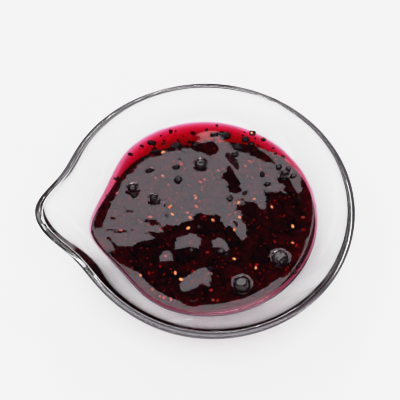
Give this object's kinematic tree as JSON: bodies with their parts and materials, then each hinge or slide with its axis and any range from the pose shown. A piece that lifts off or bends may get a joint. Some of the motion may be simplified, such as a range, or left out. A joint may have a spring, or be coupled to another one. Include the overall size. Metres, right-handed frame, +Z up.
{
  "type": "glass pouring bowl of berry jam",
  "caption": "Small clear glass pouring bowl on a low foot, with one drawn spout in its lip, part filled with glossy dark berry jam holding seeds and whole fruit.",
  "frame": {"origin": "middle of the flat underside of the foot", "axes": "+Z up, the spout points along -X, Y across"},
  "size_m": [0.1155, 0.1066, 0.0354],
  "materials": {
    "glass": "clear polished",
    "jam": "wet gloss, deep magenta-red where thin and nearly black where deep",
    "fruit": "wet gloss, nearly black"
  },
  "bodies": {
    "root": {"bowl": "glass", "jam": "jam", "fruit_near": "fruit", "fruit_right": "fruit", "fruit_back": "fruit", "fruit_left": "fruit", "fruit_mid": "fruit", "fruit_edge": "fruit"}
  },
  "joints": []
}
